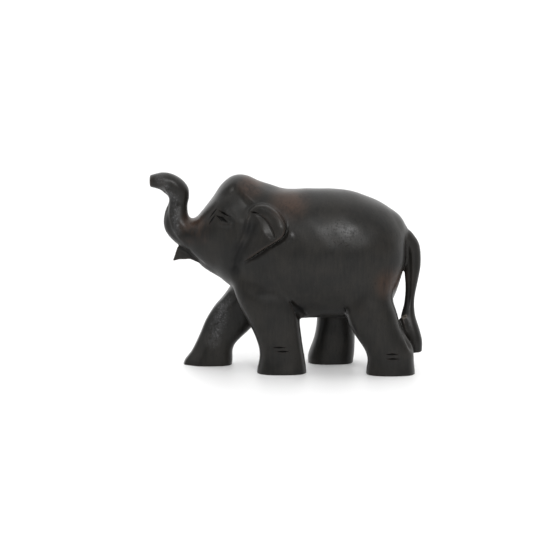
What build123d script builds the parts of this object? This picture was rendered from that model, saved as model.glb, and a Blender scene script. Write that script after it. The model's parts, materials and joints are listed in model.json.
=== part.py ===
from build123d import *
import os
from math import copysign, cos, pi, radians, sin

# A carved wooden elephant, walking, with its trunk raised in an S. It is one block of dark wood, 150 mm
# long. Millimetres. The elephant faces -X, its left side is at -Y and +Z is up. The origin is on the table,
# under the middle of its bounding box. The block is divided where one carved form runs into the next, so the
# torso, head, trunk, lower lip, ears, legs and tail are solids of their own that meet face to face.

# ---- driving dimensions
TIP_X = -75.0  # flat cut end of the trunk
RING_POINTS = 12  # points that carry one rounded section
SOFT = 2.15  # fullness of a nearly elliptical section
FIRM = 2.6  # fullness of a squarer section, as on a leg
BODY_BETWEEN = 3  # sections worked out between two stations of the body, head and trunk
TAIL_BETWEEN = 1  # the same for the tail

# A station of the long form that runs from the rump to the tip of the trunk, in the middle plane:
# x, z, heading (0 is forward, 90 is up), half width, reach to the back, reach to the belly.
BODY = [
    (66.4, 67.0, 0, 4.0, 8.0, 6.0),
    (64.8, 66.0, 0, 11.5, 15.5, 10.5),
    (61.5, 65.0, 0, 17.5, 20.5, 21.0),
    (56.0, 64.0, 0, 22.0, 26.3, 29.5),
    (46.0, 63.0, 0, 25.5, 32.3, 33.0),
    (32.0, 62.0, 0, 27.0, 37.2, 33.2),
    (14.0, 62.0, 0, 26.5, 38.0, 33.3),
    (-2.0, 64.0, 4, 24.5, 35.9, 34.5),
]
NECK = (-21.0, 73.0, 18, 21.5, 32.0, 28.0)
FACE = [
    (-31.5, 80.0, 14, 19.0, 28.9, 27.3),
    (-39.5, 79.5, 14, 16.5, 25.3, 22.5),
    (-46.0, 77.0, 17, 13.0, 17.3, 15.1),
]
TRUNK_ROOT = (-51.0, 76.0, 20, 10.2, 10.2, 10.0)
TRUNK = [
    (-56.0, 76.4, 32, 8.8, 7.8, 7.5),
    (-60.2, 81.2, 62, 7.6, 7.2, 7.2),
    (-60.7, 86.8, 85, 6.4, 6.2, 6.2),
    (-59.7, 92.2, 93, 5.3, 4.9, 4.9),
    (-59.2, 96.4, 88, 5.2, 5.2, 5.2),
    (-60.3, 100.6, 68, 5.6, 6.0, 5.8),
    (-64.2, 104.2, 36, 5.8, 5.4, 5.4),
    (-69.0, 105.7, 8, 5.4, 4.4, 4.4),
    (TIP_X, 105.6, 0, 4.0, 3.0, 2.8),
]

# A station of a leg: height, front x, rear x, middle y, half width. The last one lies inside the torso.
LEFT_FRONT = [
    (0, -14.7, 10.8, -14.5, 9.6),
    (2.5, -14.4, 10.7, -14.5, 9.4),
    (8, -13.6, 10.1, -14.5, 8.8),
    (15, -14.2, 9.2, -14.5, 8.8),
    (23, -17.2, 8.0, -14.4, 9.2),
    (31, -21.4, 7.4, -14.0, 9.8),
    (40, -26.0, 6.5, -13.2, 10.4),
    (56, -26.5, 4.0, -11.0, 9.0),
]
RIGHT_FRONT = [
    (0, -55.0, -31.0, 11.5, 8.6),
    (3, -54.0, -30.2, 11.5, 8.5),
    (8, -51.4, -29.9, 11.5, 8.2),
    (14, -48.4, -26.6, 11.6, 8.2),
    (21, -45.6, -19.0, 11.8, 8.6),
    (28, -42.2, -14.5, 12.0, 9.2),
    (35, -37.2, -10.0, 12.0, 9.8),
    (43, -31.0, -7.0, 11.5, 10.0),
    (52, -25.0, -5.0, 10.5, 8.5),
]
LEFT_HIND = [
    (0, 45.6, 70.4, -17.5, 9.8),
    (2.5, 45.6, 70.5, -17.5, 9.6),
    (7, 46.0, 70.4, -17.5, 9.2),
    (13, 44.6, 69.9, -17.5, 9.2),
    (20, 40.0, 66.4, -17.3, 9.4),
    (28, 35.4, 62.6, -16.8, 10.0),
    (37, 33.4, 59.8, -15.5, 11.0),
    (45, 33.2, 58.2, -14.2, 11.0),
    (54, 34.0, 56.0, -12.5, 9.5),
]
RIGHT_HIND = [
    (0, 13.3, 35.8, 17.5, 9.4),
    (2.5, 12.6, 36.6, 17.5, 9.2),
    (8, 13.9, 37.4, 17.5, 8.8),
    (15, 16.2, 37.6, 17.5, 8.8),
    (23, 17.4, 37.4, 17.2, 9.2),
    (31, 17.6, 39.0, 16.6, 9.8),
    (40, 19.0, 41.0, 15.2, 10.4),
    (54, 22.0, 41.0, 12.5, 9.0),
]
LEGS = {
    "left_front_leg": LEFT_FRONT,
    "right_front_leg": RIGHT_FRONT,
    "left_hind_leg": LEFT_HIND,
    "right_hind_leg": RIGHT_HIND,
}

# A station of the tail, from its cut end up to its root in the rump: x, y, z, heading, half width, reach to
# the rear, reach to the legs.
TAIL = [
    (72.2, -9.2, 10.6, 84, 3.9, 3.0, 3.4),
    (71.4, -9.0, 17.0, 77, 4.4, 3.7, 5.0),
    (69.4, -8.2, 24.0, 77, 4.2, 3.8, 5.4),
    (68.2, -7.0, 30.0, 84, 3.5, 3.1, 4.4),
    (68.2, -5.6, 36.5, 92, 3.1, 2.5, 2.5),
    (68.9, -4.0, 43.0, 96, 3.2, 2.5, 2.5),
    (69.7, -2.0, 52.0, 94, 3.5, 3.6, 3.6),
    (70.2, -0.6, 60.0, 84, 3.9, 4.4, 4.5),
    (68.6, 0.0, 68.5, 54, 4.2, 5.0, 5.4),
    (61.0, 0.0, 75.0, 24, 4.2, 5.0, 6.0),
]

# An ear is a relief on the side of the neck. It stands proud at its back edge and runs out into the cheek.
EAR_OUTLINE = [
    (-18.5, 97.5), (-11.5, 98.6), (-5.0, 94.0), (-0.6, 89.0), (0.8, 84.0), (-0.5, 79.0),
    (-8.6, 73.2), (-19.6, 65.8), (-28.6, 58.6), (-29.6, 62.5), (-27.0, 71.0), (-22.0, 84.0),
]
FOLD_OUTLINE = [(-19.4, 93.2), (-12.5, 91.5), (-7.6, 86.4), (-5.2, 78.6), (-7.2, 77.6), (-13.5, 84.5)]
# How proud it stands over the last two body stations, the neck and the first two stations of the face.
EAR_LIFT = [5.0, 4.6, 3.4, 1.0, 0.2]
FOLD_DEPTH = 2.0
EAR_KEEP_IN = 8.0  # the relief's blank starts this far from the middle plane

# The lower lip's outlines, seen from the side (x, z) and from above (x, y).
LIP_SIDE = [
    (-61.8, 60.8), (-57.8, 61.9), (-52.0, 62.2), (-45.0, 59.0), (-40.0, 66.0), (-57.0, 72.5), (-59.2, 68.5),
]
LIP_PLAN = [(-62.4, -0.7), (-62.4, 0.7), (-52.0, 4.2), (-40.0, 6.0), (-40.0, -6.0), (-52.0, -4.2)]

KNIFE_THICKNESS, KNIFE_BITE = 0.9, 0.9  # width and depth of a V-tool's cut
ANKLE_CUT_LENGTH = 7.4
# The two brow cuts and the two lid cuts of an eye: x, z, rise towards the tail in degrees, length.
EYE_CUTS = [(-40.0, 88.0, 45, 5.2), (-33.8, 88.8, -30, 6.4), (-40.1, 85.2, 50, 5.6), (-34.3, 85.8, -30, 6.6)]
# The two wrinkles over the foot, on the outer side of each leg: x, height.
ANKLE_CUTS = {
    "left_front_leg": [(-3.2, 15.7), (-1.6, 13.5)],
    "right_front_leg": [(-37.0, 15.2), (-37.8, 12.8)],
    "left_hind_leg": [(58.6, 12.9), (59.2, 10.1)],
    "right_hind_leg": [(26.6, 13.2), (26.2, 10.6)],
}
SAWN_OFF = 200.0  # larger than the whole object


# ---- smooth forms
def smooth_step(before, start, end, after, part):
    """A value between start and end that also follows the values on both sides of them."""
    rise, fall = (end - before) / 2, (after - start) / 2
    square, cube = part**2, part**3
    return (
        start * (2 * cube - 3 * square + 1)
        + rise * (cube - 2 * square + part)
        + end * (3 * square - 2 * cube)
        + fall * (cube - square)
    )


def refined(stations, between):
    """The stations, with some smoothly worked out ones between each two."""
    fine = []
    last = len(stations) - 1
    for index in range(last):
        four = [stations[max(index - 1, 0)], *stations[index : index + 2], stations[min(index + 2, last)]]
        for step in range(between + 1):
            part = step / (between + 1)
            fine.append(tuple(smooth_step(*values, part) for values in zip(*four)))
    fine.append(stations[last])
    return fine


def bulge(value, fullness):
    """A cosine or sine pushed outwards, which turns an ellipse into a fuller, squarer oval."""
    return copysign(abs(value) ** (2 / fullness), value)


def oval(plane, half_width, back, front, fullness):
    """A closed rounded section on a plane: half_width to each side, back one way and front the other."""
    points = []
    for step in range(RING_POINTS):
        turn = 2 * pi * step / RING_POINTS
        reach = back if step < RING_POINTS / 2 else front
        across = bulge(cos(turn), fullness) * half_width
        up = bulge(sin(turn), fullness) * reach
        points.append(plane.from_local_coords((across, up)))
    even_steps = [step / RING_POINTS for step in range(RING_POINTS + 1)]
    return make_face(Edge.make_spline(points, periodic=True, parameters=even_steps))


def plane_across(x, y, z, heading):
    """The plane square to a form that runs along a heading. Its local Y points to the back of the form."""
    turn = radians(heading)
    return Plane(origin=(x, y, z), x_dir=(0, -1, 0), z_dir=(-cos(turn), 0, sin(turn)))


def long_form(stations):
    """A rounded form that runs through stations in the middle plane."""
    rings = []
    for x, z, heading, half_width, back, belly in refined(stations, BODY_BETWEEN):
        rings.append(oval(plane_across(x, 0, z, heading), half_width, back, belly, SOFT))
    return loft(rings)


def leg_form(stations):
    """A leg that starts from a flat sole and ends inside the torso."""
    rings = []
    for height, front, rear, middle, half_width in stations:
        plane = Plane(origin=((front + rear) / 2, middle, height), x_dir=(0, -1, 0), z_dir=(0, 0, 1))
        reach = (rear - front) / 2
        rings.append(oval(plane, half_width, reach, reach, FIRM))
    return loft(rings)


def tail_form():
    """The tail, which bows out from the rump and comes back to the left hind leg."""
    rings = []
    for x, y, z, heading, half_width, rear, inner in refined(TAIL, TAIL_BETWEEN):
        rings.append(oval(plane_across(x, y, z, heading), half_width, rear, inner, SOFT))
    return loft(rings)


def biggest(shape):
    """The largest solid of a trimmed shape, without the slivers that trimming can leave."""
    return max(shape.solids(), key=lambda solid: solid.volume)


# ---- ears, lip and knife cuts
def side_column(points):
    """A column across the whole body, from an outline seen from the side."""
    return extrude(Plane.XZ * make_face(Spline(*points, periodic=True)), amount=SAWN_OFF / 2, both=True)


def lifted_neck(lower):
    """The neck with the ears' thickness on it, less a depth."""
    covered = [*BODY[-2:], NECK, *FACE[:2]]
    stations = []
    for (x, z, heading, half_width, back, belly), lift in zip(covered, EAR_LIFT):
        extra = max(lift - lower, 0)
        stations.append((x, z, heading, half_width + extra, back + extra, belly + extra))
    return long_form(stations)


def ear_blanks():
    """Both ears before the torso and head are taken from them, hollowed beside each folded rim."""
    blank = side_column(EAR_OUTLINE) & lifted_neck(0)
    return blank - (side_column(FOLD_OUTLINE) - lifted_neck(FOLD_DEPTH))


def one_side(side):
    """The space on one side of the body, clear of the middle plane. side is -1 for left and 1 for right."""
    return Pos(0, side * (EAR_KEEP_IN + SAWN_OFF / 2), 0) * Box(2 * SAWN_OFF, SAWN_OFF, 2 * SAWN_OFF)


def lip_form():
    """The pointed lower lip: a side outline that narrows to its tip."""
    side = extrude(Plane.XZ * make_face(Polyline(*LIP_SIDE, close=True)), amount=SAWN_OFF / 2, both=True)
    plan = extrude(make_face(Polyline(*LIP_PLAN, close=True)), amount=SAWN_OFF)
    return side & plan


def side_at(solid, x, z, side):
    """How far from the middle plane a solid's outer surface is at x and z."""
    ray = Edge.make_line((x, 0, z), (x, side * SAWN_OFF, z))
    return max((vertex.Y for vertex in (ray & solid).vertices()), key=abs)


def knife_cut(solid, side, x, z, rise, length):
    """A short cut with tapered ends: a thin disc that bites into the outer side of a solid."""
    radius = (length / 2) ** 2 / (2 * KNIFE_BITE) + KNIFE_BITE / 2
    middle = side_at(solid, x, z, side) + side * (radius - KNIFE_BITE)
    return solid - Pos(x, middle, z) * Rot(0, -rise, 0) * Cylinder(radius, KNIFE_THICKNESS)


def with_eyes(head):
    """The head with the knife cuts of both eyes."""
    for side in (-1, 1):
        for x, z, rise, length in EYE_CUTS:
            head = knife_cut(head, side, x, z, rise, length)
    return head


def with_ankle_cuts(name, leg):
    """A leg with the two wrinkles over its foot."""
    side = -1 if name.startswith("left") else 1
    for x, height in ANKLE_CUTS[name]:
        leg = knife_cut(leg, side, x, height, 0, ANKLE_CUT_LENGTH)
    return leg


# ---- the pieces
def make_pieces():
    """All the carved forms, trimmed so that they meet face to face."""
    block = long_form([*BODY, NECK, *FACE, TRUNK_ROOT])
    neck_plane = plane_across(NECK[0], 0, NECK[1], NECK[2])
    torso = split(block, bisect_by=neck_plane, keep=Keep.BOTTOM)
    bare_head = split(block, bisect_by=neck_plane, keep=Keep.TOP)
    trunk = long_form([TRUNK_ROOT, *TRUNK])
    pieces = {"torso": torso, "head": with_eyes(bare_head), "trunk": trunk}
    pieces["lower_lip"] = biggest(lip_form() - bare_head - trunk)
    blanks = ear_blanks()
    for name, side in {"left_ear": -1, "right_ear": 1}.items():
        pieces[name] = biggest((blanks & one_side(side)) - torso - bare_head)
    for name, stations in LEGS.items():
        leg = biggest(leg_form(stations) - torso - bare_head)
        pieces[name] = with_ankle_cuts(name, leg)
    pieces["tail"] = biggest(tail_form() - torso - pieces["left_hind_leg"])
    return pieces


def centred(pieces):
    """The pieces, moved together so that they stand on the table, with the origin under their middle."""
    boxes = [piece.bounding_box() for piece in pieces.values()]
    middle_x = (min(box.min.X for box in boxes) + max(box.max.X for box in boxes)) / 2
    middle_y = (min(box.min.Y for box in boxes) + max(box.max.Y for box in boxes)) / 2
    sole_z = min(box.min.Z for box in boxes)
    return {name: Pos(-middle_x, -middle_y, -sole_z) * piece for name, piece in pieces.items()}


os.makedirs("parts", exist_ok=True)
for name, piece in centred(make_pieces()).items():
    export_step(piece, f"parts/{name}.step")
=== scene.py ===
# %% [markdown]
# # A carved wooden elephant
# The real elephant is one block of wood, cut with gouges and a knife, sanded, stained nearly black and
# waxed. There are no joints in it. So the lesson follows the carver: saw a rough block, round it, carve
# the ears, face and feet into it, and stain it at the end. Only then is the one skin divided into the
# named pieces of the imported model, so that the forms run into each other as softly as they do in the real
# carving.

import json
import math

import bmesh
import bpy
import numpy as np
from mathutils import Matrix, Vector, kdtree

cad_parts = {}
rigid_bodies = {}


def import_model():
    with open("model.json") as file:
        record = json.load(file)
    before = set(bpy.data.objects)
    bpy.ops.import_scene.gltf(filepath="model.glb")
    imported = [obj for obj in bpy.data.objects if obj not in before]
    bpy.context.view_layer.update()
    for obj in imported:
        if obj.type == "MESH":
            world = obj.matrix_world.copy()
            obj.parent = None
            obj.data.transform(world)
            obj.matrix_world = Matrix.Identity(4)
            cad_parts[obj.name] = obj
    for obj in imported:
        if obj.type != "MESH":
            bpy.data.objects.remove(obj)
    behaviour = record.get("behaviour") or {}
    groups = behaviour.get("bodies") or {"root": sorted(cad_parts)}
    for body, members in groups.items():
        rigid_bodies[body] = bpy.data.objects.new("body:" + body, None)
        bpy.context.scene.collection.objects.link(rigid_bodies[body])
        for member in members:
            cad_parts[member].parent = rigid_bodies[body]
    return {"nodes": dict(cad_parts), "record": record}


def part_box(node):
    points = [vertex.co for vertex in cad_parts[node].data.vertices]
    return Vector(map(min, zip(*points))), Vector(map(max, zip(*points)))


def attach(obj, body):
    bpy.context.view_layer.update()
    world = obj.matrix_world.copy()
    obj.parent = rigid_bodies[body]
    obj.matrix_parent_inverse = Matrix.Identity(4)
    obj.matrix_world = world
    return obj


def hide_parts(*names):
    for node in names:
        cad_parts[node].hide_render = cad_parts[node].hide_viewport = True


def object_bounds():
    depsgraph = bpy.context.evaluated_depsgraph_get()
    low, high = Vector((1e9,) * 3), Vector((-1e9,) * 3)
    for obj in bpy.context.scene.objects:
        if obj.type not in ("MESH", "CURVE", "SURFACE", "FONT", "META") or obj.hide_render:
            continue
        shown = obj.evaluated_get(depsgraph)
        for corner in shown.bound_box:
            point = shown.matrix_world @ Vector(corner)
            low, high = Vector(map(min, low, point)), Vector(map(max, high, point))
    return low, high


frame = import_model()
CAD_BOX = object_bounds()
MM = 0.001

# %% [markdown]
# ## Bench tools
# Blender's operators act on whatever is selected, and the model arrives selected. These few helpers
# select exactly one thing first, so that no step touches a neighbour. `place` gives a point by its share
# of a node's box, seen from the side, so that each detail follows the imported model's size.

# %% Bench tools
def pick(*things):
    """Selects only these objects. The first one becomes the active one."""
    if bpy.context.mode != "OBJECT":
        bpy.ops.object.mode_set(mode="OBJECT")
    bpy.ops.object.select_all(action="DESELECT")
    for thing in things:
        thing.select_set(True)
    bpy.context.view_layer.objects.active = things[0]


def apply_modifier(thing, kind, **settings):
    """Adds a modifier with its settings and applies it at once."""
    pick(thing)
    modifier = thing.modifiers.new(kind.lower(), kind)
    for name, value in settings.items():
        setattr(modifier, name, value)
    bpy.ops.object.modifier_apply(modifier=modifier.name)


def place(node, along, up):
    """A point in the side view, in mm, by its share of a node's box: from the front and from the bottom."""
    low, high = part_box(node)
    return ((low.x + along * (high.x - low.x)) / MM, (low.z + up * (high.z - low.z)) / MM)


def read_skin(thing):
    """A mesh's points and their outward normals, as arrays in mm."""
    mesh = thing.data
    points = np.empty(len(mesh.vertices) * 3)
    mesh.vertices.foreach_get("co", points)
    normals = np.empty(len(mesh.vertices) * 3, np.float32)
    mesh.vertex_normals.foreach_get("vector", normals)
    return points.reshape(-1, 3) / MM, normals.reshape(-1, 3).astype(float)


def write_skin(thing, points):
    """Puts moved points back into a mesh."""
    thing.data.vertices.foreach_set("co", (points * MM).ravel())
    thing.data.update()


def soft_step(value, start, end):
    """0 before start, 1 after end, and a smooth rise between them."""
    part = np.clip((value - start) / (end - start), 0, 1)
    return part * part * (3 - 2 * part)


# %% [markdown]
# ## The block
# A carver saws the side view out of the block and rounds it with a rasp. Here the CAD nodes are that
# rounded blank. Copies of them are merged and joined, and a voxel remesh turns them into one closed skin
# of even little squares, which is what the later cuts need. A subdivided cage would be lighter, but its
# edge loops would have to follow every form, and here the forms run into each other.

# %% The rounded blank
BODY_VOXEL = 0.55 * MM
WELD_DISTANCE = 0.002 * MM


def copies_of(names, title):
    """One object made of merged copies of some CAD nodes."""
    made = []
    for name in names:
        copy = bpy.data.objects.new(name + "_copy", frame["nodes"][name].data.copy())
        bpy.context.scene.collection.objects.link(copy)
        pick(copy)
        bpy.ops.object.mode_set(mode="EDIT")
        bpy.ops.mesh.select_all(action="SELECT")
        bpy.ops.mesh.remove_doubles(threshold=WELD_DISTANCE)
        bpy.ops.object.mode_set(mode="OBJECT")
        made.append(copy)
    pick(*made)
    if len(made) > 1:
        bpy.ops.object.join()
    made[0].name = title
    return made[0]


def drop_loose_bits(thing):
    """Keeps only the connected skin of the highest point, because a remesh can leave bubbles inside."""
    pick(thing)
    bpy.ops.object.mode_set(mode="EDIT")
    bpy.ops.mesh.select_all(action="DESELECT")
    mesh = bmesh.from_edit_mesh(thing.data)
    outermost = max(mesh.verts, key=lambda vert: vert.co.z)
    outermost.select = True
    bpy.ops.mesh.select_linked()
    bpy.ops.mesh.select_all(action="INVERT")
    bpy.ops.mesh.delete(type="VERT")
    bpy.ops.object.mode_set(mode="OBJECT")


def melt(thing, voxel):
    """Turns whatever overlaps in an object into one closed skin."""
    apply_modifier(thing, "REMESH", mode="VOXEL", voxel_size=voxel, adaptivity=0.0)
    drop_loose_bits(thing)


LEGS = ["left_front_leg", "right_front_leg", "left_hind_leg", "right_hind_leg"]
elephant = copies_of(["torso", "head", *LEGS], "elephant")
melt(elephant, BODY_VOXEL)
print("blank:", len(elephant.data.vertices), "points")

# %% [markdown]
# ## Sanding
# The legs still stand on the flanks like glued-on posts. On the real elephant shoulder and thigh run into
# the flank with no edge, because sandpaper takes off what stands proud. A Smooth modifier does the same.
# A vertex group says how hard each part is rubbed: hard where the legs meet the body, not at all at the
# soles, which have to stay flat and sharp. Rubbing shrinks a form a little, so the skin is swollen back
# afterwards.

# %% Sanding
BODY_ROUNDS, SHOULDER_ROUNDS = 160, 220
FOOT_TOP, FULL_RUB_HEIGHT = 14, 30
LIMB_REACH = 24
SWELL_BACK = 0.6
HIND_LEG_SHIFT = 0.9
BODY_DABS = [
    # node, along and up its box, height, reach
    ("head", 0.24, 0.12, 0.8, 10),
    ("torso", 0.215, 0.985, -0.5, 14),
    ("torso", 0.965, 0.69, 0.7, 12),
]


def rub(thing, strength, rounds, factor=0.5):
    """Smooths a skin by the given strength at each point, from 0 to 1."""
    group = thing.vertex_groups.new(name="rub")
    steps = np.clip(np.round(strength * 10), 0, 10).astype(int)
    for step in range(1, 11):
        group.add(np.flatnonzero(steps == step).tolist(), step / 10, "REPLACE")
    apply_modifier(thing, "SMOOTH", factor=factor, iterations=rounds, vertex_group="rub")
    thing.vertex_groups.clear()


def near(points, spots, reach):
    """1 at some spots in space, falling softly to 0 at a distance, all in mm."""
    strength = np.zeros(len(points))
    for spot in spots:
        gap = np.linalg.norm(points - np.array(spot), axis=1)
        strength = np.maximum(strength, 1 - soft_step(gap, 0.4 * reach, reach))
    return strength


points, _ = read_skin(elephant)
rub(elephant, soft_step(points[:, 2], FOOT_TOP, FULL_RUB_HEIGHT), BODY_ROUNDS)
points, _ = read_skin(elephant)
shoulder_x, shoulder_z = place("left_front_leg", 0.3, 0.93)
thigh_x, thigh_z = place("left_hind_leg", 0.45, 0.95)
far_shoulder_x, far_shoulder_z = place("right_front_leg", 0.75, 0.9)
far_thigh_x, far_thigh_z = place("right_hind_leg", 0.5, 0.93)
limb_tops = [
    (shoulder_x, -22, shoulder_z), (thigh_x, -23, thigh_z),
    (far_shoulder_x, 20, far_shoulder_z), (far_thigh_x, 23, far_thigh_z),
]
rub(elephant, near(points, limb_tops, LIMB_REACH), SHOULDER_ROUNDS)
points, normals = read_skin(elephant)
write_skin(elephant, points + SWELL_BACK * normals * (normals[:, 2:] > -0.95))


def dab(thing, spot, height, reach):
    """Raises a soft lump on the skin near a spot, or sinks it where the height is negative."""
    points, normals = read_skin(thing)
    write_skin(thing, points + normals * (height * near(points, [spot], reach))[:, None])


for node, along, up, height, reach in BODY_DABS:
    x, z = place(node, along, up)
    dab(elephant, (x, 0, z), height, reach)
dab(elephant, (shoulder_x + 3, -23, shoulder_z + 2), 0.5, 9)
points, _ = read_skin(elephant)
right_hind = (points[:, 1] > 4) * (points[:, 0] > 5) * (1 - soft_step(points[:, 2], 20, 42))
points[:, 0] += HIND_LEG_SHIFT * right_hind
write_skin(elephant, points)
print("sanded height:", round(max(v.co.z for v in elephant.data.vertices) / MM, 1), "mm")

# %% [markdown]
# ## Trunk, lip and tail
# These thin forms would shrink if they were rubbed as hard as the body, so they join the skin only now:
# first the trunk, whose root is rubbed until it runs into the face, then the lip and the tail. A small
# extra lump joins the tuft to the back of the leg, as on the real carving, where a free tuft would have
# broken off.

# %% Trunk, lip and tail
SKIN_VOXEL = 0.46 * MM
LIP_THINNING = 0.72
TRUNK_SWELL, TAIL_SWELL, TAIL_BACK = 0.35, 0.35, 0.35
TRUNK_SHIFT, TRUNK_DROP = 0.5, 1.2
LIP_SHIFT = np.array([-0.5, 0, -0.9])
TUFT_DEPTH, TUFT_RADII = -10.5, (3.6, 3.3, 8.0)
ROOT_RUB, TAIL_RUB, TUFT_RUB = (17, 90), (9, 30), (13, 25)  # reach in mm, rounds


def lump(title, centre, radii):
    """A stretched ball, at a place in mm."""
    bpy.ops.object.select_all(action="DESELECT")
    bpy.ops.mesh.primitive_uv_sphere_add(segments=32, ring_count=16, radius=MM, location=Vector(centre) * MM)
    made = bpy.context.active_object
    made.name = title
    made.scale = radii
    bpy.ops.object.transform_apply(location=True, rotation=True, scale=True)
    return made


def absorb(thing, addition, voxel):
    """Joins another object into the skin."""
    pick(thing, addition)
    bpy.ops.object.join()
    melt(thing, voxel)


trunk = copies_of(["trunk"], "trunk_form")
points, normals = read_skin(trunk)
points += TRUNK_SWELL * normals
points[:, 0] += TRUNK_SHIFT * soft_step(points[:, 2], 72, 80)
points[:, 2] -= TRUNK_DROP * soft_step(points[:, 2], 88, 100)
write_skin(trunk, points)
absorb(elephant, trunk, SKIN_VOXEL)
points, _ = read_skin(elephant)
root_x, root_z = place("trunk", 0.9, 0.24)
rub(elephant, near(points, [(root_x, 0, root_z)], ROOT_RUB[0]), ROOT_RUB[1])

lip = copies_of(["lower_lip"], "lip_form")
points, _ = read_skin(lip)
points[:, 1] *= LIP_THINNING
write_skin(lip, points + LIP_SHIFT)
pick(elephant, lip)
bpy.ops.object.join()
tuft_x, tuft_z = place("tail", 0.1, 0.18)
tuft = lump("tuft_lump", (tuft_x, TUFT_DEPTH, tuft_z), TUFT_RADII)
pick(elephant, tuft)
bpy.ops.object.join()
tail = copies_of(["tail"], "tail_form")
points, normals = read_skin(tail)
write_skin(tail, points + TAIL_SWELL * normals + np.array([TAIL_BACK, 0, 0]))
absorb(elephant, tail, SKIN_VOXEL)
points, _ = read_skin(elephant)
tail_x, tail_z = place("tail", 0.15, 0.9)
rub(elephant, near(points, [(tail_x, 0, tail_z)], TAIL_RUB[0]), TAIL_RUB[1])
dab(elephant, (tail_x, 0, tail_z + 4), 0.8, 7)
points, _ = read_skin(elephant)
rub(elephant, near(points, [(tuft_x + 1, -10, tuft_z + 2)], TUFT_RUB[0]), TUFT_RUB[1])
print("skin:", len(elephant.data.vertices), "points")

# %% [markdown]
# ## Strokes
# Ears, cheeks and creases are low reliefs on the sides, so they can be drawn as lines in the side view. A
# point of the skin looks up its distance to the line and goes in or out by an amount that depends on it,
# as it would under a gouge. The same lines serve both sides of the head.

# %% Lines in the side view
def rounded(corners, rounds=3, closed=False):
    """A line through corners with each corner cut off a few times, which makes it a smooth curve."""
    line = np.array(corners, float)
    for _ in range(rounds):
        ends = np.roll(line, -1, axis=0) if closed else line[1:]
        starts = line if closed else line[:-1]
        cut = np.stack([0.75 * starts + 0.25 * ends, 0.25 * starts + 0.75 * ends], axis=1).reshape(-1, 2)
        line = cut if closed else np.vstack([line[:1], cut, line[-1:]])
    return np.vstack([line, line[:1]]) if closed else line


def measure_line(points, line):
    """For each point: distance to a line in the side view, share of its length, and hand (+1 or -1)."""
    flat = points[:, [0, 2]]
    lengths = np.linalg.norm(np.diff(line, axis=0), axis=1)
    starts = np.concatenate([[0], np.cumsum(lengths)])
    gap = np.full(len(flat), np.inf)
    along = np.zeros(len(flat))
    hand = np.ones(len(flat))
    for start, end, length, begun in zip(line[:-1], line[1:], lengths, starts[:-1]):
        run = (end - start) / length
        offset = flat - start
        part = np.clip(offset @ run, 0, length)
        here = np.linalg.norm(offset - part[:, None] * run, axis=1)
        turn = run[0] * offset[:, 1] - run[1] * offset[:, 0]
        closer = here < gap
        gap[closer] = here[closer]
        along[closer] = (begun + part[closer]) / starts[-1]
        hand[closer] = np.sign(turn[closer])
    return gap, along, hand


def inside_outline(points, outline):
    """Which points lie inside a closed line in the side view."""
    x, z = points[:, 0], points[:, 2]
    inside = np.zeros(len(points), bool)
    for (x0, z0), (x1, z1) in zip(outline[:-1], outline[1:]):
        crosses = (z0 > z) != (z1 > z)
        reach = x0 + (z - z0) / (z1 - z0 if z1 != z0 else 1e-9) * (x1 - x0)
        inside ^= crosses & (x < reach)
    return inside


def facing_side(points, normals, side):
    """1 where the skin looks to one side of the elephant (-1 left, 1 right), 0 where it looks away."""
    return soft_step(normals[:, 1] * side, 0.05, 0.35) * (points[:, 1] * side > 1)


def tapered(along):
    """Full strength along a line, running out softly at both ends."""
    return soft_step(along, 0, 0.2) * (1 - soft_step(along, 0.8, 1))


def gouge(thing, corners, width, depth, sides=(-1, 1)):
    """Pushes a rounded groove into the skin along a line. A negative depth raises a ridge."""
    points, normals = read_skin(thing)
    gap, along, _ = measure_line(points, rounded(corners))
    push = depth * (1 - soft_step(gap, 0, width)) * tapered(along)
    for side in sides:
        points = points - normals * (push * facing_side(points, normals, side))[:, None]
    write_skin(thing, points)


def hollow_beside(thing, corners, hand, depth, deepest, width, sides=(-1, 1), fan=0.0):
    """Scoops the skin on one hand of a line only, so that the line stays as a ridge. A fan starts narrow."""
    points, normals = read_skin(thing)
    gap, along, which = measure_line(points, rounded(corners))
    gap = gap / (1 - fan * (1 - along))
    scoop = soft_step(gap, 0, deepest) ** 0.7 * (1 - soft_step(gap, deepest, width)) * (which == hand)
    push = depth * scoop * tapered(along)
    for side in sides:
        points = points - normals * (push * facing_side(points, normals, side))[:, None]
    write_skin(thing, points)


# %% [markdown]
# ## Forehead, cheek, trunk and tail
# A hollow temple behind the eye leaves a ridge that runs from the forehead dome to the top of the ear.
# The cheek ends in a round edge, and behind it a broad valley runs down to the throat. A fine ridge under
# the eye is its lid. The knife has left a long ridge on each side of the trunk and of the tail, with a
# flat in front of it, the cheek hangs a little over the lower lip, and behind the left front leg the
# armpit is a dark hollow.

# %% Forehead, cheek, trunk and tail
TEMPLE_RIDGE = [(0.62, 0.97), (0.69, 0.905), (0.78, 0.84), (0.84, 0.8), (0.9, 0.77)]
CHEEK_BACK = [
    (0.79, 0.74), (0.79, 0.62), (0.755, 0.52), (0.67, 0.42), (0.6, 0.31), (0.575, 0.19), (0.58, 0.04),
]
LOWER_LID = [(0.4, 0.605), (0.46, 0.592), (0.53, 0.59), (0.6, 0.6)]
CHEEK_EDGE = [(-0.16, 0.4), (0.02, 0.33), (0.14, 0.27), (0.26, 0.21)]
TRUNK_RIDGE = [
    (0.17, 0.97), (0.26, 0.88), (0.37, 0.75), (0.41, 0.61),
    (0.42, 0.46), (0.47, 0.3), (0.6, 0.16), (0.8, 0.07),
]
TAIL_RIDGE = [(0.42, 0.93), (0.55, 0.78), (0.57, 0.62), (0.55, 0.48), (0.42, 0.34)]
TUFT_GROOVE = [(-0.08, 0.31), (0.14, 0.2), (0.36, 0.1), (0.54, 0.03)]
ARMPIT = [(0.77, 0.77), (0.81, 0.71), (0.85, 0.65), (0.88, 0.6), (0.9, 0.55)]


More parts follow.
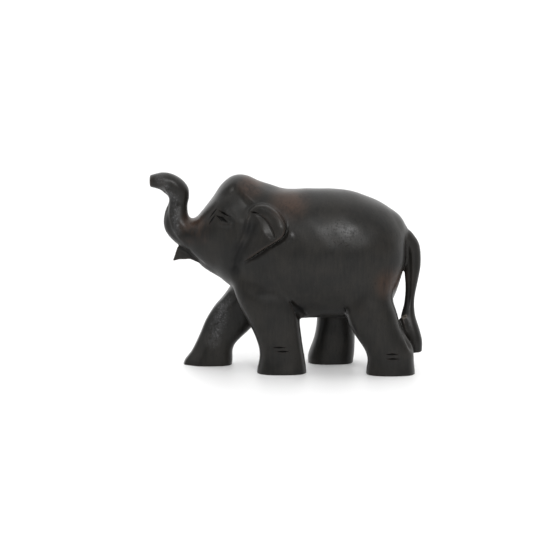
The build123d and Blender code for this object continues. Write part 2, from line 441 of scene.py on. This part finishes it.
def on(node, shares):
    """Points of the side view from shares of a node's box."""
    return [place(node, along, up) for along, up in shares]


hollow_beside(elephant, on("head", TEMPLE_RIDGE), hand=-1, depth=1.9, deepest=3.4, width=15.0)
hollow_beside(elephant, on("head", CHEEK_BACK), hand=1, depth=1.8, deepest=2.6, width=9.0)
points, _ = read_skin(elephant)
cheek_gap, _, _ = measure_line(points, rounded(on("head", CHEEK_BACK)))
rub(elephant, (1 - soft_step(cheek_gap, 1.5, 4)) * (abs(points[:, 1]) > 4), 14)
gouge(elephant, [(x - 4.5, z) for x, z in on("head", CHEEK_BACK)], width=6.0, depth=-0.5)
gouge(elephant, on("head", LOWER_LID), width=1.8, depth=-0.55)
hollow_beside(elephant, on("head", CHEEK_EDGE), hand=-1, depth=0.8, deepest=0.8, width=3.5)
hollow_beside(elephant, on("trunk", TRUNK_RIDGE), hand=-1, depth=0.8, deepest=2.0, width=6.0)
hollow_beside(elephant, on("trunk", TRUNK_RIDGE), hand=1, depth=0.35, deepest=3.0, width=7.0)
hollow_beside(elephant, on("tail", TAIL_RIDGE), hand=-1, depth=0.7, deepest=1.4, width=4.0)
gouge(elephant, on("tail", TUFT_GROOVE), width=1.5, depth=1.3, sides=(-1,))
hollow_beside(
    elephant, on("left_front_leg", ARMPIT), hand=1, depth=2.6, deepest=1.5, width=7.0, sides=(-1,), fan=0.8,
)

# %% [markdown]
# ## Ears
# Each ear stands proud of the neck at its rear edge and runs out into the cheek. Its rim is folded over:
# a broad rounded roll, and inside it a slit from which a small floor climbs back up to the face of the
# ear. Below the rear edge the knife has undercut the ear, which leaves a dark shadow that dies away
# towards the throat.

# %% Ears
EAR_OUTLINE = [
    (0.33, 0.83), (0.48, 0.885), (0.64, 0.885), (0.81, 0.815), (0.93, 0.715), (1.0, 0.61),
    (0.97, 0.48), (0.84, 0.4), (0.6, 0.295), (0.35, 0.165), (0.14, 0.05), (0.0, -0.02),
    (-0.02, 0.12), (0.08, 0.28), (0.19, 0.46), (0.27, 0.68),
]
FOLD_LINE = [(0.305, 0.78), (0.43, 0.775), (0.57, 0.735), (0.685, 0.65), (0.765, 0.54), (0.8, 0.435)]
ROLL_CREST = [(0.4, 0.835), (0.55, 0.855), (0.7, 0.825), (0.83, 0.73), (0.885, 0.6), (0.89, 0.49)]
EAR_LIFT, ROLL_LIFT, ROLL_WIDTH = 4.0, 1.0, 4.5
SLIT_DEPTH, FLOOR_WIDTH = 2.1, 4.6
UNDERCUT_DEPTH, UNDERCUT_WIDTH = 1.9, 2.6


def raise_ears(thing):
    """Raises both ears out of the skin, with roll, slit, floor and undercut."""
    points, normals = read_skin(thing)
    edge, edge_along, _ = measure_line(points, rounded(on("left_ear", EAR_OUTLINE), closed=True))
    inner = np.where(inside_outline(points, rounded(on("left_ear", EAR_OUTLINE), closed=True)), edge, -edge)
    front, rear = place("left_ear", 0, 0)[0], place("left_ear", 1, 0)[0]
    share = (points[:, 0] - front) / (rear - front)
    lift = (0.3 + EAR_LIFT * soft_step(share, 0.05, 0.9)) * soft_step(inner, -0.4, 0.8)
    crest, crest_along, _ = measure_line(points, rounded(on("left_ear", ROLL_CREST)))
    lift += ROLL_LIFT * (1 - soft_step(crest, 0, ROLL_WIDTH)) * tapered(crest_along) * (inner > 0)
    gap, along, hand = measure_line(points, rounded(on("left_ear", FOLD_LINE)))
    floor_width = FLOOR_WIDTH * soft_step(along, 0.05, 0.6) * (1 - 0.5 * soft_step(along, 0.75, 1)) + 0.4
    slope = np.clip(1 - gap / floor_width, 0, 1) * soft_step(gap, -0.2, 0.5) * (hand == -1) * (inner > 0)
    lift -= SLIT_DEPTH * slope * soft_step(along, 0, 0.4) * (1 - soft_step(along, 0.93, 1))
    under = UNDERCUT_WIDTH * soft_step(edge_along, 0.2, 0.3) * (1 - soft_step(edge_along, 0.45, 0.62)) + 0.01
    ends = soft_step(edge_along, 0.2, 0.3) * (1 - soft_step(edge_along, 0.5, 0.62))
    lift -= UNDERCUT_DEPTH * np.clip(1 - (-inner) / under, 0, 1) ** 1.3 * ends * (inner < 0)
    for side in (-1, 1):
        points[:, 1] += side * lift * facing_side(points, normals, side)
    write_skin(thing, points)


raise_ears(elephant)
melt(elephant, SKIN_VOXEL)
points, _ = read_skin(elephant)
ear_gap, _, _ = measure_line(points, rounded(on("left_ear", EAR_OUTLINE), closed=True))
fold_gap, _, _ = measure_line(points, rounded(on("left_ear", FOLD_LINE)))
at_ear = (1 - soft_step(np.minimum(ear_gap, fold_gap), 1.5, 4)) * (abs(points[:, 1]) > 9)
rub(elephant, np.maximum(0.3, at_ear) * (points[:, 2] > 3), 4)
print("ears raised:", len(elephant.data.vertices), "points")

# %% [markdown]
# ## Marks of the rasp
# A hand-worked surface is never quite even. A few slow waves, each with its own direction, move the skin
# by a tenth of a millimetre, so that highlights wander a little. The stepping front leg also keeps a long
# flat that the rasp has left on the outside of its shin. The feet spread a little at the bottom, and a
# plane cuts the soles off flat: only a cut gives them a crisp edge.

# %% Marks of the rasp
WAVES, WAVE_DEPTH, WAVE_SEED = 14, 0.03, 7
FOOT_SPREAD, FOOT_HEIGHT, TOE_PUSH = 0.02, 8.0, 1.3
SHIN_FLAT = (-0.60, -0.77, 0.25)
SHIN_BITE = 1.3
SOLE_CUT, CUT_CLOSENESS = 1.2, 0.001 * MM

random = np.random.default_rng(WAVE_SEED)
points, normals = read_skin(elephant)
unevenness = np.zeros(len(points))
for _ in range(WAVES):
    wave = random.normal(size=3)
    wave *= 2 * math.pi / random.uniform(9, 26) / np.linalg.norm(wave)
    unevenness += WAVE_DEPTH * np.sin(points @ wave + random.uniform(0, 2 * math.pi))
write_skin(elephant, points + normals * (unevenness * (points[:, 2] > 1))[:, None])


def skin_at(thing, x, z, side):
    """Where a ray from one side meets the skin, in mm."""
    _, spot, _, _ = thing.ray_cast(Vector((x, side * 100, z)) * MM, Vector((0, -side, 0)))
    return spot / MM


def rasp(thing, chosen, direction, bite, band=2.0):
    """Files a flat along a limb: within each band of height, the outermost bite goes."""
    points, _ = read_skin(thing)
    direction = np.array(direction) / np.linalg.norm(direction)
    reach = points @ direction
    bands = np.clip(points[:, 2] / band, 0, None).astype(int)
    top = np.full(bands.max() + 1, -np.inf)
    np.maximum.at(top, bands[chosen > 0], reach[chosen > 0])
    known = np.flatnonzero(np.isfinite(top))
    limit = np.interp(points[:, 2], (known + 0.5) * band, top[known]) - bite
    write_skin(thing, points - (np.clip(reach - limit, 0, None) * chosen * 0.95)[:, None] * direction)


points, _ = read_skin(elephant)
shin = (points[:, 1] > 1.5) * (points[:, 0] < -10) * (1 - soft_step(points[:, 2], 40, 50))
rasp(elephant, shin, SHIN_FLAT, SHIN_BITE)
rub(elephant, shin * soft_step(points[:, 2], 2, 12), 26)
dot_x, dot_z = place("left_ear", 1.03, 0.46)
dab(elephant, (dot_x, skin_at(elephant, dot_x, dot_z, -1).y, dot_z), 0.4, 3.6)

points, _ = read_skin(elephant)
for mount in frame["record"]["mounts"]:
    sole = np.array(mount["pos_m"]) / MM
    away = points - sole
    away[:, 2] = 0
    spread = FOOT_SPREAD * (1 - soft_step(np.linalg.norm(away, axis=1), 14, 18))
    points = points + away * (spread * (1 - soft_step(points[:, 2], 0, FOOT_HEIGHT)))[:, None]
toe_x, _ = place("right_front_leg", 0.12, 0)
toe = soft_step(-points[:, 0], -toe_x - 6, -toe_x + 6) * (1 - soft_step(points[:, 2], 0, FOOT_HEIGHT))
points[:, 0] -= TOE_PUSH * toe
points[:, 2] -= SOLE_CUT * (1 - soft_step(points[:, 2], 0, 3))
write_skin(elephant, points)
pick(elephant)
bpy.ops.object.mode_set(mode="EDIT")
bpy.ops.mesh.select_all(action="SELECT")
bpy.ops.mesh.bisect(
    plane_co=(0, 0, 0), plane_no=(0, 0, 1), clear_inner=True, use_fill=True, threshold=CUT_CLOSENESS,
)
bpy.ops.object.mode_set(mode="OBJECT")
print("soles cut flat at", round(min(v.co.z for v in elephant.data.vertices) / MM, 3), "mm")

# %% [markdown]
# ## Knife cuts
# The eyes, the wrinkles over the feet and a few nicks are small chips that a knife has taken out: two
# slanting cuts that meet at the bottom of a groove. A lozenge is such a chip, so each cutter is a ball of
# four segments and two rings, stretched to the chip's length, depth and width and set halfway into the
# skin, where a ray from outside meets it. A Boolean modifier takes the chips away and leaves crisp edges,
# which strokes on the skin's own points could not.

# %% Knife cuts
EYE_CUTS = [
    # along and up the head's box, length, width, depth, degrees of rise towards the tail
    (0.344, 0.684, 9.0, 1.5, 1.2, 47),
    (0.332, 0.630, 8.6, 1.5, 1.2, 53),
    (0.478, 0.690, 11.0, 1.5, 1.2, -28),
    (0.455, 0.640, 10.0, 3.0, 1.8, -29),
]
SLIT_CUT = (0.42, 0.775, 7.5, 1.2, 1.3, -8)
ANKLE_CUTS = {
    "left_front_leg": [(0.640, 0.285), (0.689, 0.243)],
    "left_hind_leg": [(0.677, 0.227), (0.690, 0.179)],
    "right_front_leg": [(0.30, 0.285), (0.27, 0.243)],
    "right_hind_leg": [(0.5, 0.27), (0.5, 0.21)],
}
ANKLE_CUT = (8.8, 1.5, 1.1, 0)
BODY_CUTS = [
    # node, along, up, length, width, depth, degrees
    ("left_hind_leg", -0.01, 0.648, 7.5, 1.6, 1.8, 98),
    ("tail", 0.2, 0.3, 3.0, 1.0, 0.8, 12),
    ("torso", 0.62, 0.6, 4.6, 0.3, 0.25, 35),
    ("torso", 0.66, 0.59, 3.6, 0.3, 0.25, 28),
    ("torso", 0.585, 0.615, 4.0, 0.25, 0.2, -50),
]


def chip(thing, x, z, side, length, width, depth, rise):
    """A cutter for one chip, set halfway into the skin and square to it."""
    start, inward = Vector((x, side * 100, z)) * MM, Vector((0, -side, 0))
    _, spot, outward, _ = thing.ray_cast(start, inward)
    run = Vector((math.cos(math.radians(rise)), 0, math.sin(math.radians(rise))))
    run = (run - run.dot(outward) * outward).normalized()
    bpy.ops.object.select_all(action="DESELECT")
    bpy.ops.mesh.primitive_uv_sphere_add(segments=4, ring_count=2, radius=MM)
    made = bpy.context.active_object
    made.scale = (length / 2, width / 2, depth)
    bpy.ops.object.transform_apply(location=False, rotation=False, scale=True)
    turn = Matrix((run, outward.cross(run), outward)).transposed()
    made.matrix_world = Matrix.LocRotScale(spot, turn, None)
    bpy.ops.object.transform_apply(location=True, rotation=True, scale=False)
    return made


def boolean(thing, operation, cutter):
    """Cuts away or keeps what a cutter covers, and throws the cutter away."""
    apply_modifier(thing, "BOOLEAN", operation=operation, object=cutter, solver="MANIFOLD")
    bpy.data.objects.remove(cutter)


def cut_chips(thing, chips):
    """Takes several chips that don't touch each other out of the skin in one cut."""
    pick(*chips)
    bpy.ops.object.join()
    boolean(thing, "DIFFERENCE", chips[0])


for along, up, length, width, depth, rise in EYE_CUTS:
    x, z = place("head", along, up)
    cut_chips(elephant, [chip(elephant, x, z, side, length, width, depth, rise) for side in (-1, 1)])
chips = []
along, up, *shape = SLIT_CUT
chips += [chip(elephant, *place("left_ear", along, up), side, *shape) for side in (-1, 1)]
for node, spots in ANKLE_CUTS.items():
    side = -1 if node.startswith("left") else 1
    chips += [chip(elephant, *place(node, *spot), side, *ANKLE_CUT) for spot in spots]
for node, along, up, *shape in BODY_CUTS:
    chips.append(chip(elephant, *place(node, along, up), -1, *shape))
cut_chips(elephant, chips)
print("after the knife:", len(elephant.data.vertices), "points")

# %% [markdown]
# ## Hollows and ridges
# Hollows get painted shade, darker the deeper they lie, and ridges wear pale. A skin that is rubbed hard
# for a moment shows where they are: hollows fill up and ridges sink. The difference is kept on each point
# as a number in millimetres, which the wood's finish reads later. Pointiness would give it too, but only
# at the size of one small square.

# %% Hollows and ridges
DEPTH_ROUNDS = 24


def measure_hollows(thing):
    """How deep each point lies in a hollow, in mm, or how far it stands out where the number is negative."""
    points, normals = read_skin(thing)
    rubbed = thing.copy()
    rubbed.data = thing.data.copy()
    bpy.context.scene.collection.objects.link(rubbed)
    apply_modifier(rubbed, "SMOOTH", factor=0.5, iterations=DEPTH_ROUNDS)
    smooth_points, _ = read_skin(rubbed)
    bpy.data.objects.remove(rubbed)
    return np.einsum("ij,ij->i", smooth_points - points, normals)


hollow = measure_hollows(elephant)
print(f"hollows up to {hollow.max():.2f} mm deep, ridges up to {-hollow.min():.2f} mm high")

# %% [markdown]
# ## The named pieces
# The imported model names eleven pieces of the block. The one skin is now divided along the same places.
# Each piece is cut out with a prism, drawn in the side view, that reaches over one range of depth: the
# piece is what the prism and the skin share, and the rest goes on without it. Both sides of a cut are the
# same flat face, so no gap shows. The mesh of each piece is closed.

# %% The named pieces
def whole(along, up):
    """A point in the side view, in mm, by its share of the whole model's box."""
    low, high = CAD_BOX
    return ((low.x + along * (high.x - low.x)) / MM, (low.z + up * (high.z - low.z)) / MM)


LEFT, RIGHT, ACROSS = (-40, 0), (0, 40), (-40, 40)
FOREHEAD, TRUNK_FOOT, LIP_TOP = (0.255, 1.05), (0.137, 0.602), (0.099, 0.629)
JAW, CHEST = (0.19, 0.527), (0.302, 0.418)
PRISMS = {
    "trunk": (ACROSS, [(-0.1, 1.05), FOREHEAD, TRUNK_FOOT, LIP_TOP, (-0.1, 0.629)]),
    "lower_lip": (ACROSS, [TRUNK_FOOT, LIP_TOP, (-0.1, 0.629), (-0.1, 0.45), (0.19, 0.45), JAW]),
    "head": (ACROSS, [(0.447, 1.05), FOREHEAD, TRUNK_FOOT, JAW, (0.19, 0.418), CHEST]),
    "tail": ((-14.5, 8), [
        (0.945, 0.736), (1.1, 0.736), (1.1, 0.055), (0.976, 0.055), (0.9645, 0.118), (0.938, 0.2),
        (0.916, 0.268), (0.911, 0.327), (0.9226, 0.454), (0.93, 0.545), (0.9346, 0.636),
    ]),
    "left_front_leg": (LEFT, [(0.3, -0.02), (0.58, -0.02), (0.58, 0.3), CHEST]),
    "right_front_leg": (RIGHT, [
        (0.1, -0.02), (0.367, -0.02), (0.467, 0.3), (0.467, 0.327), CHEST, (0.1, 0.418),
    ]),
    "left_hind_leg": (LEFT, [(0.7, -0.02), (1.02, -0.02), (1.02, 0.4), (0.913, 0.4), (0.7, 0.3)]),
    "right_hind_leg": (RIGHT, [(0.553, -0.02), (0.793, -0.02), (0.793, 0.336), (0.567, 0.3)]),
}
EAR_DEPTH = (11, 40)


def prism(corners, depth):
    """A closed prism whose outline lies in the side view and which reaches over a range of depth, in mm."""
    near_side, far_side = depth
    mesh = bpy.data.meshes.new("prism")
    mesh.from_pydata([Vector((x, near_side, z)) * MM for x, z in corners], [], [range(len(corners))])
    made = bpy.data.objects.new("prism", mesh)
    bpy.context.scene.collection.objects.link(made)
    pick(made)
    bpy.ops.object.mode_set(mode="EDIT")
    bpy.ops.mesh.select_all(action="SELECT")
    offset = (0, (far_side - near_side) * MM, 0)
    bpy.ops.mesh.extrude_region_move(TRANSFORM_OT_translate={"value": offset})
    bpy.ops.mesh.select_all(action="SELECT")
    bpy.ops.mesh.normals_make_consistent(inside=False)
    bpy.ops.object.mode_set(mode="OBJECT")
    return made


def take_out(thing, node, corners, depth):
    """Cuts one named piece out of the skin."""
    piece = thing.copy()
    piece.data = thing.data.copy()
    piece.name = "carved_" + node
    bpy.context.scene.collection.objects.link(piece)
    boolean(piece, "INTERSECT", prism(corners, depth))
    boolean(thing, "DIFFERENCE", prism(corners, depth))
    return piece


points, _ = read_skin(elephant)
lookup = kdtree.KDTree(len(points))
for number, point in enumerate(points):
    lookup.insert(point, number)
lookup.balance()

pieces = {}
ear_outline = rounded(on("left_ear", EAR_OUTLINE), 2, closed=True)[:-1]
pieces["left_ear"] = take_out(elephant, "left_ear", ear_outline, (-EAR_DEPTH[1], -EAR_DEPTH[0]))
pieces["right_ear"] = take_out(elephant, "right_ear", ear_outline, EAR_DEPTH)
for node, (depth, shares) in PRISMS.items():
    pieces[node] = take_out(elephant, node, [whole(*share) for share in shares], depth)
elephant.name = "carved_torso"
pieces["torso"] = elephant
for node, piece in pieces.items():
    points, _ = read_skin(piece)
    nearest = [lookup.find(point)[1] for point in points]
    layer = piece.data.attributes.new("hollow", "FLOAT", "POINT")
    layer.data.foreach_set("value", hollow[nearest].astype(np.float32))
    triangles = sum(len(face.vertices) - 2 for face in piece.data.polygons)
    edge_uses = np.bincount([loop.edge_index for loop in piece.data.loops])
    print(piece.name, triangles, "triangles,", int((edge_uses != 2).sum()), "edges not closed")

# %% [markdown]
# ## The finish
# The wood is stained nearly black and waxed to a satin shine. Hands have worn it reddish brown on the
# withers, the trunk's root and the rump, the grain runs upright, and small pits from the carving break
# the shine on trunk and shin. A pale grey highlight is painted on trunk and shin, painted shade darkens
# the hollows, the cheek's valley and the armpit, and a pale highlight is painted on the tail's chip.
# Shader maths is easier to read as Python expressions, so a small class turns operators into Math
# nodes, and one method adds every other node.

# %% Nodes from expressions
class Signal:
    """A number that changes over the surface. Operators on it add Math nodes."""

    def __init__(self, finish, socket):
        self.finish = finish
        self.socket = socket

    def __add__(self, other):
        return self.finish.maths("ADD", self, other)

    def __sub__(self, other):
        return self.finish.maths("SUBTRACT", self, other)

    def __rsub__(self, other):
        return self.finish.maths("SUBTRACT", other, self)

    def __mul__(self, other):
        return self.finish.maths("MULTIPLY", self, other)

    __radd__ = __add__
    __rmul__ = __mul__


class Finish:
    """A material whose nodes are added by method calls."""

    def __init__(self, title):
        self.material = bpy.data.materials.new(title)
        self.material.use_nodes = True
        self.tree = self.material.node_tree
        self.shader = self.tree.nodes["Principled BSDF"]

    def feed(self, socket, value):
        """Links a signal or a socket to a socket, or sets a plain value on it."""
        if isinstance(value, Signal):
            value = value.socket
        if isinstance(value, bpy.types.NodeSocket):
            self.tree.links.new(value, socket)
        else:
            socket.default_value = value

    def node(self, kind, settings=None, sockets=None):
        """Adds a node: first its settings, then its sockets, by name or number."""
        made = self.tree.nodes.new(kind)
        for name, value in (settings or {}).items():
            setattr(made, name, value)
        for name, value in (sockets or {}).items():
            self.feed(made.inputs[name], value)
        return made

    def maths(self, operation, *values):
        """The result of a Math node."""
        made = self.node("ShaderNodeMath", {"operation": operation}, dict(enumerate(values)))
        return Signal(self, made.outputs[0])

    def rise(self, value, start, end):
        """0 below start, 1 above end, smooth between them."""
        sockets = {"Value": value, "From Min": start, "From Max": end}
        made = self.node("ShaderNodeMapRange", {"interpolation_type": "SMOOTHSTEP"}, sockets)
        return Signal(self, made.outputs[0])

    def blend(self, share, first, second):
        """A colour between two colours."""
        return self.node("ShaderNodeMix", {"data_type": "RGBA"}, {0: share, 6: first, 7: second}).outputs[2]

    def noise(self, where, size, detail=2.0, roughness=0.5):
        """Soft noise with patches of about this size in mm."""
        sockets = {"Vector": where, "Scale": 1 / (size * MM), "Detail": detail, "Roughness": roughness}
        return Signal(self, self.node("ShaderNodeTexNoise", {}, sockets).outputs["Fac"])

    def stretched(self, where, scale):
        """Coordinates that are stretched, so that a pattern runs long along one axis."""
        return self.node("ShaderNodeMapping", {}, {"Vector": where, "Scale": scale}).outputs[0]

    def vector(self, operation, *values):
        """The outputs of a Vector Math node."""
        return self.node("ShaderNodeVectorMath", {"operation": operation}, dict(enumerate(values))).outputs

    def patch(self, where, centre, inner, outer):
        """1 near a place in the side view, given in mm, and 0 away from it."""
        flat = self.vector("MULTIPLY", where, (1, 0, 1))[0]
        gap = Signal(self, self.vector("DISTANCE", flat, (centre[0] * MM, 0, centre[1] * MM))["Value"])
        return 1 - self.rise(gap, inner * MM, outer * MM)

    def streak(self, where, start, end, inner, outer):
        """1 near a straight line between two places in the side view, and 0 away from it."""
        start, end = Vector((start[0], 0, start[1])) * MM, Vector((end[0], 0, end[1])) * MM
        run = end - start
        offset = self.vector("SUBTRACT", self.vector("MULTIPLY", where, (1, 0, 1))[0], start)[0]
        share = Signal(self, self.vector("DOT_PRODUCT", offset, run / run.length_squared)["Value"])
        share = self.maths("MINIMUM", self.maths("MAXIMUM", share, 0), 1)
        closest = self.node("ShaderNodeVectorMath", {"operation": "SCALE"}, {0: run, "Scale": share})
        gap = Signal(self, self.vector("DISTANCE", offset, closest.outputs[0])["Value"])
        return 1 - self.rise(gap, inner * MM, outer * MM)


# %% Stained wood
STAIN_DARK, STAIN_BROWN = (0.0082, 0.008, 0.0074, 1), (0.0165, 0.015, 0.013, 1)
# The pale grey is a painted highlight on trunk and shin. The near black darkens the pores and is painted
# shade in hollows.
WORN_BROWN, PAINTED_HIGHLIGHT_GREY, PORES_AND_PAINTED_SHADE_BLACK = (0.085, 0.046, 0.031, 1), (0.13, 0.13, 0.135, 1), (0.003, 0.003, 0.003, 1)
# The pale tan is a painted highlight for the upward ledge of the tail's chip.
PAINTED_HIGHLIGHT_TAN = (0.2, 0.17, 0.14, 1)
WORN_PLACES = [
    # centre, inner and outer radius in mm: withers, trunk's root, back of the head, rump
    (whole(0.517, 0.868), 2, 14), (whole(0.165, 0.72), 4, 11),
    (whole(0.377, 0.949), 2, 10), (whole(0.885, 0.46), 2, 12),
]
# Two streaks on the trunk and one on the shin: pits roughen the wax there, and a pale grey highlight is
# painted on.
PITS_AND_PAINTED_HIGHLIGHT_STREAKS = [
    (place("trunk", 0.52, 0.66), place("trunk", 0.55, 0.26), 0.2, 4),
    (place("trunk", 0.22, 0.94), place("trunk", 0.4, 0.72), 0.2, 4.2),
    (whole(0.275, 0.33), whole(0.232, 0.13), 0.2, 6),
]
SHINE_PLACES = [(whole(0.72, 0.7), 5, 12)]
# Where the painted highlight on the tail chip's ledge lies.
PAINTED_HIGHLIGHT_CHIP_STREAKS = [(place("tail", 0.14, 0.295), place("tail", 0.26, 0.305), 0.3, 1.2)]
# Painted shade: the valley behind the cheek, down to the throat, and the hollow of the armpit.
PAINTED_SHADE_PLACES = [
    (place("head", 0.8, 0.56), 1, 7), (place("head", 0.68, 0.38), 1, 6), (place("head", 0.65, 0.28), 1, 5),
    (place("head", 0.62, 0.18), 1, 5), (place("left_front_leg", 0.93, 0.66), 1, 5),
]
ROUGHNESS, GLOSS_LEVEL = 0.36, 0.21


def stained_wood():
    """Near-black stain under satin wax, worn brown where hands hold it, with upright grain, small pits,
    painted highlights and painted shade.
    """
    finish = Finish("stained_wood")
    where = finish.node("ShaderNodeTexCoord").outputs["Object"]
    upright = finish.stretched(where, (1, 1, 0.13))
    depth = Signal(finish, finish.node("ShaderNodeAttribute", {"attribute_name": "hollow"}).outputs["Fac"])

    blotch = finish.noise(where, 14, 2)
    grain = finish.noise(upright, 1.5, 4, 0.65)
    fibre = finish.noise(upright, 0.45, 2, 0.6)
    pores = finish.rise(finish.noise(finish.stretched(where, (1, 1, 0.2)), 0.5, 1), 0.66, 0.74)
    pits = finish.rise(finish.noise(where, 0.9, 2, 0.6), 0.56, 0.64)
    smears = finish.rise(finish.noise(where, 2.6, 3, 0.7), 0.5, 0.62)

    def places(spots):
        total = 0
        for centre, inner, outer in spots:
            total = total + finish.patch(where, centre, inner, outer)
        return total

    def streaks(lines):
        total = 0
        for start, end, inner, outer in lines:
            total = total + finish.streak(where, start, end, inner, outer)
        return total

    worn = places(WORN_PLACES) * finish.rise(blotch + grain * 0.4, 0.42, 0.8)
    patchy = finish.noise(where, 3.2, 3, 0.65)
    # Where pits roughen the wax on trunk and shin, and where the grey highlight is painted.
    pits_and_painted_highlight = streaks(PITS_AND_PAINTED_HIGHLIGHT_STREAKS) * finish.rise(patchy, 0.3, 0.6)
    ridge = finish.rise(depth * -1, 0.05, 0.28)
    colour = finish.blend(finish.rise(grain * 0.5 + blotch * 0.7, 0.4, 0.8), STAIN_DARK, STAIN_BROWN)
    colour = finish.blend(worn * 0.4 + ridge * 0.16, colour, WORN_BROWN)
    # Painted highlight: pale grey on the lit sides of trunk and shin, speckled by the pits.
    colour = finish.blend(pits_and_painted_highlight * (pits * 0.35 + 0.2), colour, PAINTED_HIGHLIGHT_GREY)
    # Painted shade: darker in hollows by their depth and in the valley and armpit. The same near black also
    # darkens the pores.
    painted_shade = finish.rise(depth, 0.15, 0.6) * 0.7 + places(PAINTED_SHADE_PLACES) * 0.9
    colour = finish.blend(painted_shade + pores * 0.5, colour, PORES_AND_PAINTED_SHADE_BLACK)
    # Painted highlight on the ledge of the tail's chip.
    colour = finish.blend(streaks(PAINTED_HIGHLIGHT_CHIP_STREAKS) * 0.4, colour, PAINTED_HIGHLIGHT_TAN)
    finish.feed(finish.shader.inputs["Base Color"], colour)

    roughness = ROUGHNESS + (blotch - 0.5) * 0.16 + pores * 0.15 + pits_and_painted_highlight * (pits * 0.3 - 0.06)
    roughness = roughness + places(SHINE_PLACES) * smears * 0.08 + painted_shade * 0.2
    finish.feed(finish.shader.inputs["Roughness"], roughness)
    finish.shader.inputs["Specular IOR Level"].default_value = GLOSS_LEVEL
    height = grain * 0.5 + fibre * 0.25 - pores * 0.5 - pits * (0.12 + pits_and_painted_highlight * 0.8)
    bump = finish.node("ShaderNodeBump", {}, {"Strength": 0.35, "Distance": 0.16 * MM, "Height": height})
    finish.feed(finish.shader.inputs["Normal"], bump.outputs[0])
    return finish.material


stain = stained_wood()
for node, piece in pieces.items():
    piece.data.materials.clear()
    piece.data.materials.append(stain)
    pick(piece)
    bpy.ops.object.shade_smooth_by_angle(angle=math.radians(38))
    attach(piece, "root")
    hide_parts(node)
print("stained:", len(pieces), "pieces with", len(stain.node_tree.nodes), "nodes")

# %% [markdown]
# ## Camera, floor and light
# The elephant stands on a plain white sweep. A soft box above and in front draws the long highlight on
# the flank, a second one at the left lights trunk and shin, and a bright room behind draws the pale rims
# along the back, forehead and jaw. The room in front is dim, so that the stain stays dark.

# %% Camera
def aim(thing, target):
    """Turns a camera or lamp towards a point."""
    offset = target - thing.location
    thing.rotation_euler = offset.to_track_quat("-Z", "Y").to_euler()


low, high = CAD_BOX
middle = (low + high) / 2
LENGTH = high.x - low.x
FRAME_WIDTH = 2.067 * LENGTH
VIEW_DISTANCE = 12.0 * LENGTH
ELEVATION = math.radians(9)
target = Vector((middle.x - 0.02 * LENGTH, middle.y, low.z + 0.3275 * LENGTH))
bpy.ops.object.camera_add()
camera = bpy.context.active_object
camera.location = target + VIEW_DISTANCE * Vector((0, -math.cos(ELEVATION), math.sin(ELEVATION)))
aim(camera, target)
camera.data.lens = camera.data.sensor_width * VIEW_DISTANCE / FRAME_WIDTH
bpy.context.scene.camera = camera

# %% Floor and light
bpy.ops.mesh.primitive_plane_add(size=80 * LENGTH, location=(0, 0, 0))
floor = bpy.context.active_object
floor.name = "floor"


def lamp(title, direction, size, power):
    """A square soft box that hangs in a direction from the elephant."""
    bpy.ops.object.light_add(type="AREA")
    light = bpy.context.active_object
    light.name = title
    light.location = target + Vector(direction).normalized() * 6 * LENGTH
    light.data.size = size
    light.data.energy = power
    aim(light, target)


lamp("soft_box", direction=(0.17, -0.83, 0.53), size=0.2, power=4.0)
lamp("left_box", direction=(-0.4, -0.75, 0.5), size=0.12, power=0.4)

FRONT_LIGHT, BACK_LIGHT, TOP_SHARE = 0.3, 1.7, 0.6
world = bpy.data.worlds.new("studio")
bpy.context.scene.world = world
world.use_nodes = True
sky = world.node_tree
view_direction = sky.nodes.new("ShaderNodeTexCoord")
split = sky.nodes.new("ShaderNodeSeparateXYZ")
fade = sky.nodes.new("ShaderNodeMapRange")
fade.inputs["From Min"].default_value = -0.4
fade.inputs["From Max"].default_value = 0.6
lean = sky.nodes.new("ShaderNodeMath")
lean.operation = "MULTIPLY_ADD"
lean.inputs[1].default_value = TOP_SHARE
fade.inputs["To Min"].default_value = FRONT_LIGHT
fade.inputs["To Max"].default_value = BACK_LIGHT
sky.links.new(view_direction.outputs["Generated"], split.inputs[0])
sky.links.new(split.outputs["Z"], lean.inputs[0])
sky.links.new(split.outputs["Y"], lean.inputs[2])
sky.links.new(lean.outputs[0], fade.inputs["Value"])
sky.links.new(fade.outputs[0], sky.nodes["Background"].inputs["Strength"])
sky.nodes["Background"].inputs["Color"].default_value = (1, 1, 1, 1)
bpy.context.scene.view_settings.view_transform = "Standard"

pale = bpy.data.materials.new("pale_floor")
pale.use_nodes = True
pale.node_tree.nodes["Principled BSDF"].inputs["Base Color"].default_value = (0.8, 0.8, 0.8, 1)
floor.data.materials.append(pale)
